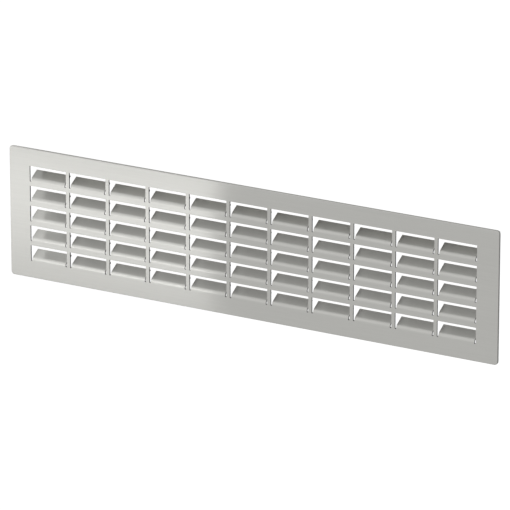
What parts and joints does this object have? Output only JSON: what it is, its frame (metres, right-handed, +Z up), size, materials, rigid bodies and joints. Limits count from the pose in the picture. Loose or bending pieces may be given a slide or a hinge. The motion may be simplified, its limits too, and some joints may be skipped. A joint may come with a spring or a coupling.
{
  "type": "louvred air grille",
  "caption": "Flat rectangular air grille with rows of fixed louvres pressed from its brushed steel face, rubber-sealed and held in a wall cut-out by spring clips.",
  "frame": {"origin": "centre of the wall cut-out, on the plane of the wall's face that the sealing strips rest on", "axes": "+X along the grille to the right as seen from the room, +Y into the wall, +Z up; the louvred face looks towards -Y"},
  "size_m": [0.4, 0.0152, 0.1],
  "materials": {
    "brushed_stainless": "fine horizontal brushed grain, satin",
    "black_rubber": "matt closed-cell sponge rubber",
    "spring_steel": "smooth rolled spring strip, slightly blue",
    "zinc_plated": "dull bright zinc plating"
  },
  "bodies": {
    "grille": {"louvred_faceplate": "brushed_stainless", "stiffening_rail_top": "brushed_stainless", "stiffening_rail_bottom": "brushed_stainless", "sealing_strip_top": "black_rubber", "sealing_strip_bottom": "black_rubber", "sealing_strip_left": "black_rubber", "sealing_strip_right": "black_rubber", "clip_foot_top_left": "spring_steel", "clip_foot_top_right": "spring_steel", "clip_foot_bottom_left": "spring_steel", "clip_foot_bottom_right": "spring_steel", "weld_studs": "zinc_plated", "lock_washers": "zinc_plated", "hex_nuts": "zinc_plated"},
    "arm_top_left": {"clip_arm_top_left": "spring_steel"},
    "arm_top_right": {"clip_arm_top_right": "spring_steel"},
    "arm_bottom_left": {"clip_arm_bottom_left": "spring_steel"},
    "arm_bottom_right": {"clip_arm_bottom_right": "spring_steel"}
  },
  "joints": [
    {"name": "spring_top_left", "type": "hinge", "parent": "grille", "child": "arm_top_left", "pos_m": [-0.134, -0.0001, 0.0444], "axis": [-1, 0, 0], "range_deg": [0, 12], "stiffness_Nm_per_rad": 2},
    {"name": "spring_top_right", "type": "hinge", "parent": "grille", "child": "arm_top_right", "pos_m": [0.134, -0.0001, 0.0444], "axis": [-1, 0, 0], "range_deg": [0, 12], "stiffness_Nm_per_rad": 2},
    {"name": "spring_bottom_left", "type": "hinge", "parent": "grille", "child": "arm_bottom_left", "pos_m": [-0.134, -0.0001, -0.0444], "axis": [1, 0, 0], "range_deg": [0, 12], "stiffness_Nm_per_rad": 2},
    {"name": "spring_bottom_right", "type": "hinge", "parent": "grille", "child": "arm_bottom_right", "pos_m": [0.134, -0.0001, -0.0444], "axis": [1, 0, 0], "range_deg": [0, 12], "stiffness_Nm_per_rad": 2}
  ]
}
